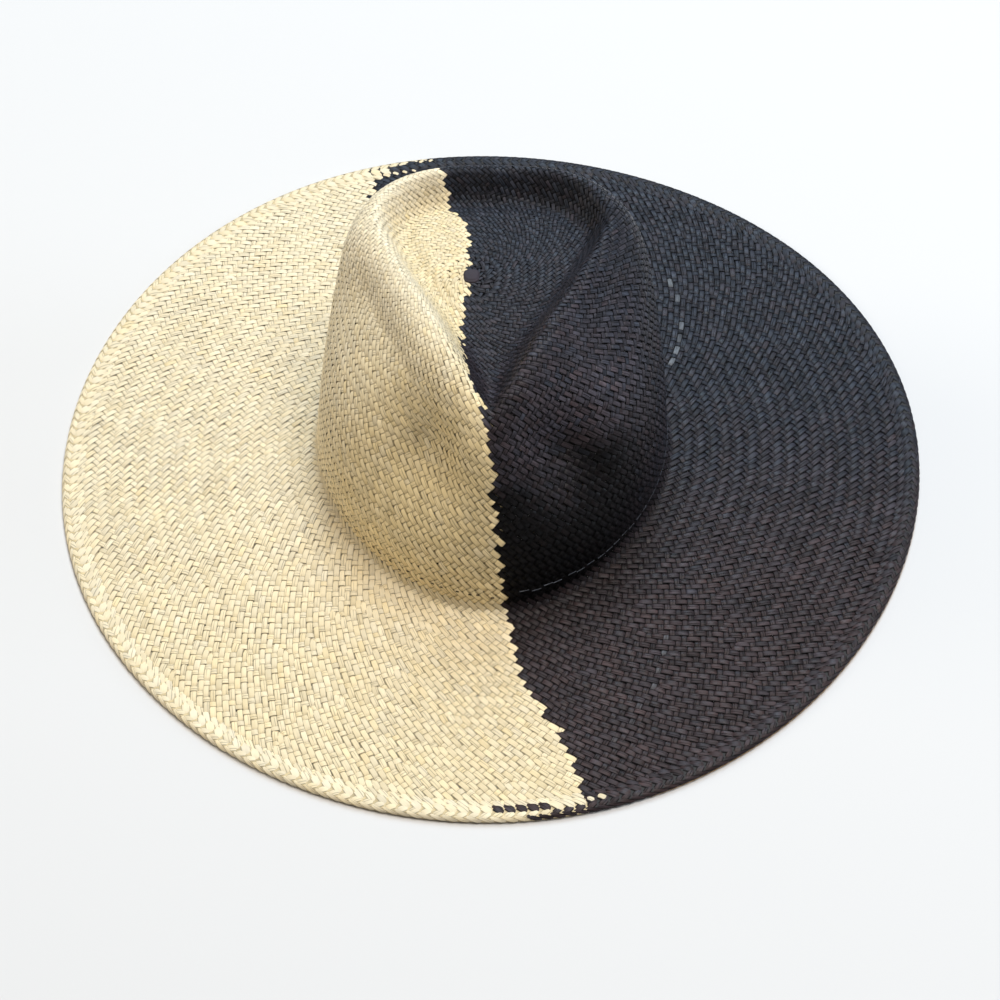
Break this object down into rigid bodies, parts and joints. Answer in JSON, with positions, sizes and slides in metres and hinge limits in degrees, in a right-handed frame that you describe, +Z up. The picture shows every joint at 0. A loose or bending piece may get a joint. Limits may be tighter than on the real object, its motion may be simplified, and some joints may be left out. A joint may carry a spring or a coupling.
{
  "type": "straw fedora hat",
  "caption": "Wide-brimmed woven straw fedora with a pinched teardrop crown, two-tone natural and black halves, braided brim border and inner sweatband.",
  "frame": {"origin": "centre of the bounding box at the bottom of the brim, where the hat rests", "axes": "+Z up through the crown, -Y towards the front of the hat, +X to the wearer's left, the black side"},
  "size_m": [0.4336, 0.4386, 0.1218],
  "materials": {
    "natural_straw": "satin natural straw",
    "black_straw": "satin black-dyed straw",
    "sweatband_cloth": "matt black cloth",
    "button_straw": "satin dark plum straw"
  },
  "bodies": {
    "root": {"crown_natural": "natural_straw", "crown_black": "black_straw", "brim_natural": "natural_straw", "brim_black": "black_straw", "border_natural": "natural_straw", "border_black": "black_straw", "sweatband": "sweatband_cloth", "crown_button": "button_straw"}
  },
  "joints": []
}
